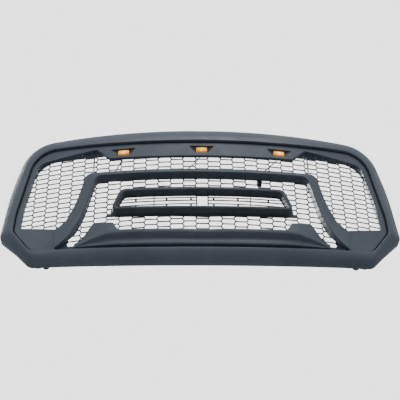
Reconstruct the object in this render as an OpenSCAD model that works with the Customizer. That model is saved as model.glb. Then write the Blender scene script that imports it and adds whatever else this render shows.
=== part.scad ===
// Front grille of a full-size pickup, built as its separate mouldings, meshes, lamps and fixings.
// The grille faces -Y, +Z is up and +X is to the viewer's right.
// The origin is the middle of the four bolt inserts, on the plane of the mounting towers' end faces.
// Every moulding follows one plan curve: an arc about a vertical axis behind the grille.
// A depth is the distance in front of the mounting plane, measured on the centre line.

/* [Overall shape] */
// Width across the widest corners
overall_w = 1271; // [1261:1:1281]
// Distance from the mounting plane to the axis of the plan curve
plan_axis = 1584; // [1564:10:1624]
// Height of the top edge above the mounting centre
top_z = 251; // [248:0.5:254]
// Wall thickness of the mouldings
wall = 3; // [2.5:0.1:3.2]

/* [Depths on the centre line] */
// Crown of the outer surround
crown_d = 152; // [150:0.5:154]
// Face of the inner frame
frame_d = 143; // [142:0.5:144]
// Front of the mesh sheets
mesh_d = 131; // [130.5:0.1:131.5]
// Front edge of the centre arch
arch_d = 170; // [167:0.5:172]
// Front lip of the slot surround
slot_d = 168; // [165:0.5:170]
// Front lip of the lower apron
apron_d = 162; // [160:0.5:163]
// Front face of the carrier ring behind the outer surround
carrier_d = 100; // [99.5:0.5:101]

/* [Hexagon mesh] */
// Distance between neighbouring columns
column_pitch = 39.2; // [38.8:0.1:39.6]
// Distance between rows in the centre sheet
centre_row_pitch = 18.9; // [18.5:0.1:19.3]
// Distance between rows in the wing sheets
wing_row_pitch = 18; // [17.6:0.1:18.4]
// Width of the bars between openings
strut = 3; // [2.4:0.1:3.2]
// Thickness of the sheets
mesh_t = 3; // [2.5:0.1:3]

/* [Lamps] */
// Distance from the centre lamp to each side lamp
lamp_spacing = 250; // [246:1:254]
// Height of the lamps
lamp_z = 144; // [143:0.5:145]
// Width of a lens
lens_w = 35; // [33:0.5:37]
// Height of a lens
lens_h = 17; // [16:0.5:18]

/* [Mounting] */
// Distance between the bolt inserts across the grille
bolt_span_x = 960; // [952:1:964]
// Distance between the upper and lower bolt inserts
bolt_span_z = 416; // [414:1:420]
// Radius of the M6 tapping hole in an insert
insert_hole_r = 2.5; // [2.45:0.01:2.55]
// Distance between the two bonnet tabs
tab_span = 500; // [490:1:510]
// Radius of the push-clip hole in a bonnet tab
tab_hole_r = 4.25; // [4:0.05:4.5]

/* [Hidden] */

half_w = overall_w / 2;
sweep = 46;
arc_fn = 720;
reach = 260;
slack = 0.2;
fine = 0.01;

// ---- Outlines seen from in front ----
// A corner is [x, z, fillet radius, steps on the fillet, steps on the straight after it].
// Each list runs from the top centre to the bottom centre on the right-hand side.
surround_edge = [
    [0, top_z - 2, 9000, 2, 7],
    [half_w - 65.5, top_z, 105, 8, 1],
    [half_w - 19.5, 66, 900, 3, 1],
    [half_w, -106, 30, 4, 1],
    [half_w - 111.5, -238, 45, 4, 1],
    [0, -306, 3600, 12, 1]];
// The carrier follows the surround but stops higher along the bottom, behind the surround's lip.
carrier_edge = [
    [0, top_z - 2, 9000, 2, 7],
    [half_w - 65.5, top_z, 105, 8, 1],
    [half_w - 19.5, 66, 900, 3, 1],
    [half_w, -106, 30, 4, 1],
    [half_w - 103, -227, 45, 4, 1],
    [0, -293.5, 3600, 12, 1]];
groove_edge = [
    [0, 168, 9000, 2, 7],
    [half_w - 100.5, 184, 80, 8, 1],
    [half_w - 53, -48, 250, 3, 1],
    [half_w - 49.5, -106, 25, 4, 1],
    [half_w - 111.5, -191, 45, 4, 1],
    [0, -252, 4000, 12, 1]];
window_edge = [
    [0, 117, 8000, 4, 1],
    [half_w - 345.5, 123, 6, 3, 1],
    [half_w - 299.5, 165, 12, 3, 1],
    [half_w - 113.5, 139.5, 30, 6, 1],
    [half_w - 81.5, 0, 300, 3, 1],
    [half_w - 71.5, -100, 9, 4, 1],
    [half_w - 189.5, -126, 8, 3, 1],
    [half_w - 229.5, -196, 12, 3, 1],
    [0, -209, 5000, 4, 1]];
slot_edge = [
    [0, -21, 9000, 4, 4],
    [253, -17, 22, 6, 1],
    [279, -91, 13, 6, 1],
    [0, -104, 4200, 4, 4]];
slot_lip_edge = [
    [0, -31, 9000, 4, 4],
    [242, -28, 16, 6, 1],
    [267, -84, 8, 6, 1],
    [0, -94, 4600, 4, 4]];
// The arch runs from its right foot over the top to its left foot.
arch_inner_edge = [
    [447, -199, 0, 0, 2], [400, -172, 80, 5, 1], [363, -95, 300, 4, 2],
    [330, 40, 24, 6, 5], [0, 29, 9000, 4, 5],
    [-330, 40, 24, 6, 2], [-363, -95, 300, 4, 1], [-400, -172, 80, 5, 2], [-447, -199, 0, 0, 1]];
arch_outer_edge = [
    [452, -133, 0, 0, 2], [428, -110, 60, 5, 1], [391, -27, 300, 4, 2],
    [366, 80, 26, 6, 5], [0, 69, 9000, 4, 5],
    [-366, 80, 26, 6, 2], [-391, -27, 300, 4, 1], [-428, -110, 60, 5, 2], [-452, -133, 0, 0, 1]];

// Where the fixings sit, seen from in front, on the right-hand side and on the centre line
// In the surround's lists the third value is how far behind the crown a boss ends, under the skin.
top_screws = [[70, 208, 18.2], [190, 208, 15.6], [330, 208, 14.1], [410, 208, 13.2]];
side_screws = [[580, 60, 20.8], [600, -60, 19.7], [562, -167.4, 23.7]];
bottom_screws = [for (x = [90, 230, 370]) [x, -248 + x * x / 8200, 10.4 + x * x / 120000]];
frame_screws_at = [[62, 178.5], [200, 180.5], [340, 184], [425, 186.3], [566.5, 58], [583.5, -40],
    [559.8, -152], [60, -230], [200, -225.5], [340, -216.2]];
wing_mesh_screws_at = [[400, 163], [468, 154], [546, 66], [564.5, -30], [515, -119.5], [468, -130]];
centre_mesh_screws_at = [[60, 124.5], [170, 125.8], [308, 146], [120, -207.5], [300, -200.5]];
arch_screws_at = [[78.4, 57.5], [215, 54], [352, 14], [362, -40], [383, -100], [411, -150]];
slot_screws_at = [[40, -25.5], [130, -24.5], [225, -23], [70, -98.7], [200, -92.7]];
apron_screws_at = [[50, -213.8], [160, -211.1], [270, -206.4]];

// ---- Helpers for outlines ----
function unit(v) = v / norm(v);
function rotated(p, w) = [p.x * cos(w) - p.y * sin(w), p.x * sin(w) + p.y * cos(w)];
function flat(v) = [v.x, v.y];
function turn(a, b, c) = let(u = unit(b - a), v = unit(c - b))
    atan2(u.x * v.y - u.y * v.x, u.x * v.x + u.y * v.y);
function fillet(a, b, c, r, n) = let(u = unit(b - a), q = turn(a, b, c), s = sign(q),
    m = [-u.y, u.x] * s * r, middle = b - u * r * tan(abs(q) / 2) + m)
    [for (i = [0 : n]) middle + rotated(-m, q * i / n)];
function corner(v, i) = let(k = len(v), b = v[i])
    b[3] == 0 ? [flat(b)] : fillet(flat(v[(i + k - 1) % k]), flat(b), flat(v[(i + 1) % k]), b[2], b[3]);
function between(p, q, n) = [for (i = [1 : 1 : n - 1]) p + (q - p) * i / n];
function joined(v, arcs, last) = [for (i = [0 : len(v) - 1])
    each concat(arcs[i], i > last ? [] :
        between(arcs[i][len(arcs[i]) - 1], arcs[(i + 1) % len(v)][0], v[i][4]))];
function closed(v) = joined(v, [for (i = [0 : len(v) - 1]) corner(v, i)], len(v) - 1);
function open(v) = joined(v, [for (i = [0 : len(v) - 1]) corner(v, i)], len(v) - 2);
function both_sides(h) = concat(h, [for (i = [len(h) - 2 : -1 : 1])
    [-h[i][0], h[i][1], h[i][2], h[i][3], h[i - 1][4]]]);
// Moves every side of an outline inward by d, or outward where d is negative
function inset(v, d) = let(k = len(v)) [for (i = [0 : k - 1])
    let(a = flat(v[(i + k - 1) % k]), b = flat(v[i]), c = flat(v[(i + 1) % k]),
        u = unit(b - a), w = unit(c - b), m = [u.y, -u.x], n = [w.y, -w.x], p = b + (m + n) * d / (1 + m * n))
    [p.x, p.y, max(v[i][2] + d * sign(turn(a, b, c)), 1), v[i][3], v[i][4]]];
function outline(half, d) = closed(inset(both_sides(half), d));

// ---- Helpers for the plan curve ----
function plan_angle(x, d) = asin(x / (plan_axis + d));
function on_plan(x, d, z) = [x, plan_axis - sqrt(pow(plan_axis + d, 2) - x * x), z];

module at_plan(x, d, z) {
    translate(on_plan(x, d, z)) rotate([0, 0, plan_angle(x, d)]) children();
}

// A fixing's axis is radial. Its x is given where it passes the carrier ring or the mesh.
module at_fixing(x, d, z) {
    bearing = plan_angle(x, d < mesh_d - 12 ? carrier_d : mesh_d);
    translate([0, plan_axis, 0]) rotate([0, 0, bearing]) translate([0, -plan_axis - d, z]) children();
}

module band(points) {
    translate([0, plan_axis, 0]) rotate([0, 0, -90 - sweep / 2])
        rotate_extrude(angle = sweep, $fn = arc_fn) polygon([for (p = points) [plan_axis + p[0], p[1]]]);
}

module layer(back, front) {
    band([[back, -reach - 40], [front, -reach - 40], [front, reach], [back, reach]]);
}

module through() {
    translate([0, 20, 0]) rotate([90, 0, 0]) linear_extrude(height = reach) children();
}

module ring(outer, inner) {
    difference() {
        polygon(outer);
        polygon(inner);
    }
}

module ring_layer(outer, inner, back, front) {
    intersection() {
        through() ring(outer, inner);
        layer(back, front);
    }
}

module rod(r, from, to) {
    translate([0, -from, 0]) rotate([90, 0, 0]) cylinder(r = r, h = to - from, $fn = 32);
}

module bosses(points, r, back, front) {
    for (p = points, s = [-1, 1]) at_fixing(s * p[0], back, p[1]) rod(r, 0, front - back);
}

module screws(points, seat, length, head_r, shank_r) {
    for (p = points, s = [-1, 1]) at_fixing(s * p[0], seat, p[1]) difference() {
        union() {
            rod(head_r, -head_r * 0.6, 0);
            rod(shank_r, -fine, length);
        }
        for (w = [0, 90]) rotate([0, w, 0]) translate([-head_r * 0.6, head_r * 0.3, -0.4])
            cube([head_r * 1.2, head_r, 0.8]);
    }
}

// ---- Helpers for swept shells ----
// Sections are equal lists of points; triangles join each section to the next one.
module shell(sections, is_ring) {
    k = len(sections[0]);
    m = len(sections);
    spans = is_ring ? m - 1 : m - 2;
    sides = [for (i = [0 : spans], j = [0 : k - 1])
        let(next = (j + 1) % k, far = ((i + 1) % m) * k, a = i * k + j, b = i * k + next, c = far + j, d = far + next)
        each [[a, b, d], [a, d, c]]];
    ends = is_ring ? [] : [[for (j = [k - 1 : -1 : 0]) j], [for (j = [0 : k - 1]) (m - 1) * k + j]];
    polyhedron(points = [for (s = sections) each s], faces = concat(sides, ends), convexity = 10);
}

// A section across a band, from [share of the way across, depth] pairs
function across(p, q, profile) = [for (s = profile) let(c = p + (q - p) * s[0]) on_plan(c.x, s[1], c.y)];

// ---- Outer surround ----
function surround_edge_d(z) = crown_d - 46 + (top_z - z) * 0.048;
function surround_crown(t, z) = let(e = surround_edge_d(z)) e + (crown_d - e) * (1 - pow(1 - t, 1.9));
// The outer return is deep on the top and sides, and only a lip along the chamfers and the bottom.
function surround_back(z) = lookup(z, [[-200, carrier_d + 21], [-106, carrier_d - 6]]);
function surround_profile(z) = let(e = surround_edge_d(z), back = surround_back(z)) [
    [0, back], [0, e - 5], [0.02, e],
    for (t = [0.15, 0.35, 0.6, 0.82]) [t, surround_crown(t, z)],
    [0.95, crown_d - 0.5], [1, crown_d - 5], [1, carrier_d],
    [0.94, carrier_d], [0.94, crown_d - 6], [0.6, surround_crown(0.6, z) - 3.4],
    [0.3, surround_crown(0.27, z) - 3.6], [0.07, e - 2.5], [0.07, back]];

module surround_shell() {
    outer = outline(surround_edge, 0);
    inner = outline(groove_edge, -2.5);
    shell([for (i = [0 : len(outer) - 1]) across(outer[i], inner[i], surround_profile(outer[i].y))], true);
}

module outer_surround() {
    color("#7d8790") surround_shell();
}

// Screw bosses that stand on the carrier and back the surround's skin
module surround_bosses() {
    color("#5d666e") difference() {
        for (p = surround_screws_at) bosses([p], 3.6, carrier_d + 3, crown_d - p[2]);
        bosses(surround_screws_at, 1.95, carrier_d - 1, carrier_d + 14);
    }
}

// ---- Carrier ring behind the surround ----
module rear_carrier() {
    color("#23272c") difference() {
        ring_layer(outline(carrier_edge, 5.5), outline(groove_edge, 0), carrier_d - 4, carrier_d);
        bosses(frame_screws_at, 1.7, carrier_d - 8, carrier_d + 2);
        bosses(tower_screws_at, 2, carrier_d - 8, carrier_d + 2);
        bosses(tab_screws_at, 2, carrier_d - 8, carrier_d + 2);
        bosses(surround_screws_at, 2.3, carrier_d - 8, carrier_d + 2);
    }
    color("#23272c") difference() {
        bosses(surround_screws_at, 5.5, carrier_d - 1, carrier_d + 3);
        bosses(surround_screws_at, 2.3, carrier_d - 8, carrier_d + 8);
    }
}

// ---- Inner frame with the lamp bar and the corner pads ----
lamp_x = [-lamp_spacing, 0, lamp_spacing];
pocket = [[-39, 13.5], [39, 13.5], [21, -12.5], [-21, -12.5]];
pocket_rim = 2.2;

module pocket_at(x, grow, from, to) {
    at_plan(x, frame_d, lamp_z) translate([0, -from, 0]) rotate([90, 0, 0]) linear_extrude(height = to - from)
        polygon([for (p = pocket) [p.x + sign(p.x) * grow * 1.4, p.y + sign(p.y) * grow]]);
}

module inner_frame() {
    frame_out = outline(groove_edge, 3.5);
    color("#4c565f") difference() {
        union() {
            ring_layer(frame_out, outline(window_edge, 0), frame_d - wall, frame_d);
            ring_layer(frame_out, outline(groove_edge, 3.5 + wall), carrier_d - 8, frame_d - wall / 2);
            ring_layer(outline(groove_edge, -11), outline(groove_edge, 3.5 + wall), carrier_d - 8, carrier_d - 4);
            ring_layer(outline(window_edge, -wall), outline(window_edge, 0), mesh_d, frame_d - wall / 2);
            bosses(wing_mesh_screws_at, 4, mesh_d, frame_d - wall / 2);
            bosses(centre_mesh_screws_at, 4, mesh_d, frame_d - wall / 2);
        }
        for (x = lamp_x) pocket_at(x, 0, -8, 8);
        bosses(wing_mesh_screws_at, 1.55, mesh_d - 1, frame_d - 5);
        bosses(centre_mesh_screws_at, 1.55, mesh_d - 1, frame_d - 5);
        bosses(frame_screws_at, 2.2, carrier_d - 12, carrier_d - 2);
        bosses(apron_screws_at, 2.2, frame_d - 6, frame_d + 6);
        for (sx = [-1, 1], sz = [-1, 1]) translate([sx * bolt_span_x / 2 - 32, -44, sz * bolt_span_z / 2 - 22])
            cube([64, 60, 44]);
    }
}

// ---- Centre arch: a wedge with a deep inner wall and a slanting outer face ----
// The crest stands at the full depth of the arch and sinks towards the corner pads at its feet.
function arch_crest(x) = lookup(abs(x), [[395, arch_d], [420, arch_d - 6], [455, frame_d + 8]]);
function arch_foot(x) = lookup(abs(x), [[385, mesh_d], [400, frame_d]]);
function arch_profile(x) = let(c = arch_crest(x), b = arch_foot(x)) [
    [0, b], [0, c - 2.5], [0.03, c - 0.5], [0.1, c], [0.16, c - 1.5], [0.96, b + 5], [1, b + 2.5], [1, b],
    [0.92, b], [0.2, c - 8], [0.1, c - 7], [0.08, b]];

// Screw bosses under the arch and under the apron
module trim_bosses() {
    color("#39424b") difference() {
        union() {
            bosses(arch_screws_at, 3.4, mesh_d, mesh_d + 12);
            bosses(apron_screws_at, 3, frame_d + slack, frame_d + 4);
        }
        bosses(arch_screws_at, 1.6, mesh_d - 1, mesh_d + 9);
        bosses(apron_screws_at, 1.6, frame_d - 1, frame_d + 5);
    }
}

module arch_shell() {
    inner = open(arch_inner_edge);
    outer = open(arch_outer_edge);
    shell([for (i = [len(inner) - 1 : -1 : 0]) across(inner[i], outer[i], arch_profile(inner[i].x))], false);
}

module centre_arch() {
    color("#414c55") arch_shell();
}

// ---- Slot surround and the slatted grid in it ----
module slot_surround() {
    outer = outline(slot_edge, 0);
    lip = outline(slot_lip_edge, 0);
    color("#2c3a48") difference() {
        union() {
            ring_layer(outer, lip, slot_d - wall, slot_d);
            ring_layer(outline(slot_edge, -7), outline(slot_edge, 2), mesh_d, mesh_d + 2.5);
            ring_layer(outer, outline(slot_edge, 2.5), mesh_d, slot_d - wall / 2);
            ring_layer(outline(slot_lip_edge, -2.5), lip, mesh_d + 5, slot_d - wall / 2);
            bosses(slot_screws_at, 3, mesh_d, slot_d - wall / 2);
        }
        bosses(slot_screws_at, 1.3, mesh_d - 1, mesh_d + 14);
    }
}

grid_back = mesh_d + 1;
grid_front = mesh_d + 5;
// Height and thickness of each slat
slats = [[-38, 2.4], [-48.5, 3], [-61, 2.4], [-71.5, 3], [-84, 2.4]];
window_half = 15.5;

module grid_bar(x0, x1, z0, z1) {
    translate([x0, z0]) square([x1 - x0, z1 - z0]);
}

module slot_grid() {
    inside = outline(slot_lip_edge, 1.5);
    color("#2b343d") difference() {
        grid_plate(inside);
        bosses(slot_screws_at, 3.3, grid_back - 1, grid_front + 1);
    }
}

module grid_plate(inside) {
    intersection() {
        through() {
            ring(outline(slot_lip_edge, -4.5), inside);
            intersection() {
                polygon(outline(slot_lip_edge, -1));
                difference() {
                    union() {
                        for (s = slats) grid_bar(-300, 300, s[0] - s[1] / 2, s[0] + s[1] / 2);
                        for (s = [-1, 1]) grid_bar(s * 149 - 1.5, s * 149 + 1.5, -100, -20);
                        for (s = [-1, 1], x = [35, 110, 205], z = [-48.5, -71.5])
                            grid_bar(s * x - 3, s * x + 3, z, z + 11);
                        grid_bar(-window_half - 4, window_half + 4, -100, -20);
                    }
                    grid_bar(-window_half, window_half, -90.5, -33.5);
                }
            }
        }
        layer(grid_back, grid_front);
    }
}

// ---- Lower apron: a lip over a hollow cove, rising into a block at each end ----
apron_half = [0, 42, 84, 126, 168, 210, 253, 257, 264, 272, 282, 291, 305, 320, 334, 342, 350, 360, 372, 388];
apron_stations = concat([for (i = [len(apron_half) - 1 : -1 : 1]) -apron_half[i]], apron_half);
function apron_top(x) = lookup(abs(x), [[0, -171], [253, -160], [257, -156], [272, -128], [282, -126],
    [334, -123.5], [342, -137], [360, -166], [372, -180], [388, -188]]);
function apron_top_d(x) = apron_d - lookup(abs(x), [[253, 3], [272, 12], [334, 14], [388, 17]]);
function apron_lip_d(x) = apron_d - lookup(abs(x), [[253, 0], [291, 2], [334, 8], [372, 14], [388, 16]]);
function apron_front(x) = lookup(abs(x), [[0, -173], [253, -164], [291, -163.5], [334, -172],
    [372, -184], [388, -190]]);
function apron_section(x) = let(top = apron_top(x), front = min(apron_front(x), top - 1.5), lip_d = apron_lip_d(x),
    edge_d = apron_top_d(x), low = front - 12, foot = -219 + x * x / 8600, drop = (low - foot) / 33,
    cove = min(13, lip_d - frame_d - 2.5) / 13, r = mesh_d + 0.2, seat = frame_d + 0.2) [
    on_plan(x, r, top), on_plan(x, edge_d, top - 0.5), on_plan(x, lip_d, front), on_plan(x, lip_d, low),
    on_plan(x, lip_d - 3 * cove, low - 3 * drop), on_plan(x, lip_d - 12 * cove, low - 9 * drop),
    on_plan(x, lip_d - 13 * cove, low - 17 * drop), on_plan(x, lip_d - 9 * cove, low - 25 * drop),
    on_plan(x, lip_d - 6 * cove, low - 30 * drop), on_plan(x, lip_d - 8 * cove, foot),
    on_plan(x, seat, foot), on_plan(x, seat, foot + 2),
    on_plan(x, max(seat + 0.1, lip_d - 8 * cove - 3.4), foot + 2.4),
    on_plan(x, max(seat + 0.1, lip_d - 9 * cove - 2.8), low - 26 * drop),
    on_plan(x, lip_d - 14.5 * cove - 0.6, low - 17 * drop), on_plan(x, lip_d - 14 * cove - 1, low - 8 * drop),
    on_plan(x, lip_d - 3.5, low + 0.5), on_plan(x, lip_d - 3.5, front), on_plan(x, edge_d - 3.5, top - 1.2),
    on_plan(x, r, top - 1.2)];

module lower_apron() {
    color("#303a44") shell([for (x = apron_stations) apron_section(x)], false);
}

// ---- Hexagon mesh sheets ----
hex_half = column_pitch * 0.57;
hex_flat = column_pitch - hex_half;

module hexagon(row_pitch) {
    h = (row_pitch - strut) / 2;
    w = hex_half - strut * 0.62;
    f = hex_flat - strut * 0.3;
    polygon([[-w, 0], [-f, h], [f, h], [w, 0], [f, -h], [-f, -h]]);
}

module hexagons(first, last, row_pitch, start_z, rows) {
    for (c = [first : last], i = [0 : rows - 1])
        translate([c * column_pitch, start_z + (i + (abs(c) % 2) / 2) * row_pitch]) hexagon(row_pitch);
}

// The wing sheet reaches under the arch's leg and under the frame.
wing_sheet = [[345, 172], [400, 170], [478, 160], [532, 152], [551, 100], [565, 10], [573, -60], [574, -108],
    [470, -138], [433, -148], [418, -105], [382, -30], [360, 55], [345, 86]];
wing_field = [[345, 168], [400, 166], [475, 156], [526, 147], [545, 98], [559, 10], [568, -60], [569, -103],
    [470, -132], [438, -140], [422, -105], [386, -30], [364, 58], [345, 88]];

module in_frame(margin) {
    intersection() {
        polygon(outline(groove_edge, margin));
        children();
    }
}

module sheet(outline_points, field_points) {
    intersection() {
        through() difference() {
            in_frame(7.5) polygon(outline_points);
            in_frame(10.5) intersection() {
                polygon(field_points);
                children();
            }
        }
        layer(mesh_d - mesh_t, mesh_d);
    }
}

module wing_mesh() {
    difference() {
        sheet(wing_sheet, wing_field) hexagons(8, 14, wing_row_pitch, -147, 19);
        bosses(wing_mesh_screws_at, 2, mesh_d - 8, mesh_d + 4);
    }
    for (p = wing_mesh_screws_at) at_fixing(p[0], mesh_d - mesh_t, p[1]) difference() {
        rod(4.5, 0, mesh_t - 0.3);
        rod(2, -2, mesh_t + 2);
    }
}

module mesh_right() {
    color("#39424b") wing_mesh();
}

module mesh_left() {
    color("#39424b") mirror([1, 0, 0]) wing_mesh();
}

centre_sheet_edge = [
    [0, 127, 0, 0, 1], [296, 130, 0, 0, 1], [332, 168, 0, 0, 1], [344, 171, 0, 0, 1], [344, 60, 0, 0, 1],
    [357, 10, 0, 0, 1], [376, -75, 0, 0, 1], [413, -150, 0, 0, 1], [437, -178, 0, 0, 1], [425, -206, 0, 0, 1], [0, -216, 0, 0, 1]];

module centre_field() {
    difference() {
        polygon([for (p = inset(both_sides(centre_sheet_edge), 3)) flat(p)]);
        polygon(outline(slot_edge, -5));
        polygon([[-262, -182], [-262, -163], [262, -163], [262, -182], [430, -210], [0, -230], [-430, -210]]);
    }
}

module mesh_centre() {
    spots = concat(centre_mesh_screws_at, arch_screws_at, slot_screws_at);
    color("#39424b") difference() {
        union() {
            intersection() {
                through() difference() {
                    in_frame(7.5) polygon([for (p = both_sides(centre_sheet_edge)) flat(p)]);
                    polygon(outline(slot_lip_edge, -1));
                    in_frame(10.5) intersection() {
                        centre_field();
                        hexagons(-10, 10, centre_row_pitch, -216.5, 21);
                    }
                }
                layer(mesh_d - mesh_t, mesh_d);
            }
            bosses(centre_mesh_screws_at, 4.5, mesh_d - mesh_t, mesh_d - 0.3);
            bosses(arch_screws_at, 5, mesh_d - mesh_t, mesh_d - 0.3);
        }
        bosses(spots, 2, mesh_d - 8, mesh_d + 4);
        bosses(apron_screws_at, 5, mesh_d - 8, mesh_d + 4);
    }
}

// ---- Marker lamps ----
housing_depth = 16;

module lamp_housing(x) {
    color("#1b2024") difference() {
        union() {
            pocket_at(x, 0, -housing_depth, -0.4);
            pocket_at(x, 5, -wall - 3.5, -wall - 0.9);
        }
        pocket_at(x, -pocket_rim, -6.5, 1);
        at_plan(x, frame_d, lamp_z) translate([-lens_w / 2 - slack, -1, -lens_h / 2 - slack])
            cube([lens_w + 2 * slack, housing_depth + 6, lens_h + 2 * slack]);
        at_plan(x, frame_d, lamp_z) translate([-lens_w / 2 - 3, 9.5, -lens_h / 2 - 2.2])
            cube([lens_w + 6, housing_depth, lens_h + 4.4]);
        for (s = [-1, 1]) lamp_screw_spot(x, s) rod(1.7, -12, 4);
    }
}

module lamp_screw_spot(x, s) {
    at_plan(x, frame_d, lamp_z) translate([s * 34, 0, -7.5]) children();
}

module lamp_lens(x) {
    w = lens_w / 2;
    h = lens_h / 2;
    color([0.9, 0.6, 0.25]) at_plan(x, frame_d, lamp_z) difference() {
        union() {
            translate([-w, 1.2, -h]) cube([lens_w, 12.3, lens_h]);
            translate([-w + 2, 0, -h + 2]) cube([lens_w - 4, 3, lens_h - 4]);
            translate([-w - 2.4, 9.7, -h - 1.8]) cube([lens_w + 4.8, 2, lens_h + 3.6]);
        }
        translate([-w + 2, 3.2, -h + 2]) cube([lens_w - 4, 12, lens_h - 4]);
    }
}

module lamp_board(x) {
    w = lens_w / 2;
    h = lens_h / 2;
    color("#2f6b3f") at_plan(x, frame_d, lamp_z) {
        translate([-w - 1.5, 13.7, -h - 0.5]) cube([lens_w + 3, 1.6, lens_h + 1]);
        for (s = [-1, 1]) translate([s * 8 - 2.5, 12.3, -2.5]) cube([5, 1.5, 5]);
    }
}

module lamp_cap(x) {
    w = lens_w / 2;
    h = lens_h / 2;
    color("#15181b") at_plan(x, frame_d, lamp_z) difference() {
        union() {
            translate([-w - 8, housing_depth, -h - 4]) cube([lens_w + 16, 2, lens_h + 6]);
            translate([-w, housing_depth + 1, -h]) cube([lens_w, 7, lens_h]);
            translate([-4, housing_depth + 8, -1]) rotate([-90, 0, 0]) cylinder(r = 4, h = 6, $fn = 32);
        }
        translate([-4, housing_depth - 1, -1]) rotate([-90, 0, 0]) cylinder(r = 1.9, h = 20, $fn = 32);
    }
}

// ---- Lamp leads and harness, held by clips all the way ----
lead_r = 1.8;
trunk_r = 3.2;
// Route points are [x, distance behind the mesh, height].
lead_routes = [
    [[-254, 28, 143], [-259, 31, 138], [-268, 31, 118], [-277, 25, 94], [-283, 19, 76]],
    [[-4, 28, 143], [-9, 31, 138], [-20, 31, 122], [-40, 27, 98], [-52, 19, 76]],
    [[246, 28, 143], [240, 31, 138], [226, 31, 124], [205, 27, 98], [191, 19, 76]]];
trunk_route = [[-290, 15, 66], [-240, 13, 67], [-160, 12, 66], [-80, 12, 65], [0, 12, 65], [80, 12, 65],
    [150, 13, 66], [176, 14, 62], [182, 14, 52]];

function smooth_point(p, i, t) = let(n = len(p) - 1, a = p[max(i - 1, 0)], b = p[i], c = p[min(i + 1, n)],
    d = p[min(i + 2, n)]) 0.5 * ((2 * b) + (c - a) * t + (2 * a - 5 * b + 4 * c - d) * t * t
    + (3 * b - a - 3 * c + d) * t * t * t);
function smooth_path(p, n) = concat([for (i = [0 : len(p) - 2], k = [0 : n - 1]) smooth_point(p, i, k / n)],
    [p[len(p) - 1]]);
function in_space(p) = [for (q = p) on_plan(q[0], mesh_d - q[1], q[2])];

module tube(path, r, sides) {
    k = len(path) - 1;
    sections = [for (i = [0 : k])
        let(t = unit(path[min(i + 1, k)] - path[max(i - 1, 0)]), u = unit(cross(t, [0, 1, 0])), v = cross(t, u))
        [for (j = [0 : sides - 1]) path[i] + r * (u * cos(j * 360 / sides) + v * sin(j * 360 / sides))]];
    shell(sections, false);
}

module lamp_lead(i) {
    color("#101214") tube(smooth_path(in_space(lead_routes[i]), 5), lead_r, 8);
}

module harness_trunk() {
    color("#101214") tube(smooth_path(in_space(trunk_route), 5), trunk_r, 8);
}

module harness_connector() {
    color("#16191c") at_plan(182, mesh_d - 14, 39) {
        translate([-7, -5, -13]) cube([14, 10, 24]);
        translate([-8.5, -6.5, -2]) cube([17, 13, 4]);
        translate([0, 0, 10]) cylinder(r = 4.4, h = 4, $fn = 32);
        translate([-2, -7.5, -11]) cube([4, 3, 12]);
    }
}

module harness_clips() {
    color("#0d0f11") for (x = [-240, -120, 0, 120]) at_plan(x, mesh_d - 12, 65.6) difference() {
        union() {
            rotate([0, 90, 0]) cylinder(r = trunk_r + 3, h = 8, center = true, $fn = 32);
            translate([-4, -9 + fine, -5]) cube([8, 6, 10]);
        }
        rotate([0, 90, 0]) cylinder(r = trunk_r + 0.8, h = 10, center = true, $fn = 32);
    }
}

// ---- Mounting towers, inserts and bonnet tabs ----
tower_r = 11;
insert_r = 5;
insert_l = 22;
tower_screws_at = [for (sx = [-20, 20], sz = [-1, 1]) [bolt_span_x / 2 + sx, sz * bolt_span_z / 2]];

module tower(sx, sz) {
    x = sx * bolt_span_x / 2;
    z = sz * bolt_span_z / 2;
    color("#202429") difference() {
        union() {
            intersection() {
                translate([x - 28, -70, z - 16]) cube([56, 70, 32]);
                layer(carrier_d - 9, carrier_d - 4);
            }
            translate([x, 0, z]) rotate([90, 0, 0]) cylinder(r = tower_r, h = 80, $fn = 64);
            translate([x - 24, -80, z - 1.75]) cube([48, 66, 3.5]);
            translate([x - 1.75, -80, z - 15]) cube([3.5, 70, 30]);
        }
        layer(carrier_d - 4, carrier_d + 60);
        translate([x, 1, z]) rotate([90, 0, 0]) cylinder(r = insert_r, h = insert_l + 1, $fn = 64);
        bosses(tower_screws_at, 2.3, carrier_d - 20, carrier_d);
        bosses(tower_screws_at, 5, carrier_d - 40, carrier_d - 9);
    }
}

module bolt_inserts() {
    color("#b9963e") for (sx = [-1, 1], sz = [-1, 1])
        translate([sx * bolt_span_x / 2, 0, sz * bolt_span_z / 2]) rotate([90, 0, 0]) difference() {
            cylinder(r = insert_r, h = insert_l, $fn = 64);
            translate([0, 0, -1]) cylinder(r = insert_hole_r, h = insert_l + 2, $fn = 64);
        }
}

tab_z = 238;
tab_back = 42;
tab_screws_at = [for (s = [-14, 14]) [tab_span / 2 + s, 221]];

module bonnet_tab(s) {
    x = s * tab_span / 2;
    root = on_plan(x, carrier_d - 4, 0).y;
    color("#202429") difference() {
        union() {
            translate([x - 24, root - 8, tab_z - 3.5]) cube([48, tab_back + 8, 3.5]);
            intersection() {
                translate([x - 24, root - 12, tab_z - 26]) cube([48, 30, 24]);
                layer(carrier_d - 8, carrier_d - 4);
            }
            for (g = [-22, 19]) translate([x + g, root - 8, tab_z - 16]) cube([3, 24, 14]);
        }
        layer(carrier_d - 4, carrier_d + 60);
        translate([x, root + tab_back - 14, tab_z - 10]) cylinder(r = tab_hole_r, h = 20, $fn = 48);
        bosses(tab_screws_at, 2.3, carrier_d - 20, carrier_d);
    }
}

module top_seal() {
    color("#121416") intersection() {
        through() for (span = [[-206, 206], [-440, -290], [290, 440]])
            translate([span[0], 222]) square([span[1] - span[0], 12]);
        layer(carrier_d - 12, carrier_d - 4);
    }
}

// ---- Screws ----
surround_screws_at = concat(top_screws, side_screws, bottom_screws);

module surround_screws() {
    color("#8a8f94") screws(surround_screws_at, carrier_d - 4, 10, 4.5, 1.9);
}

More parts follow.
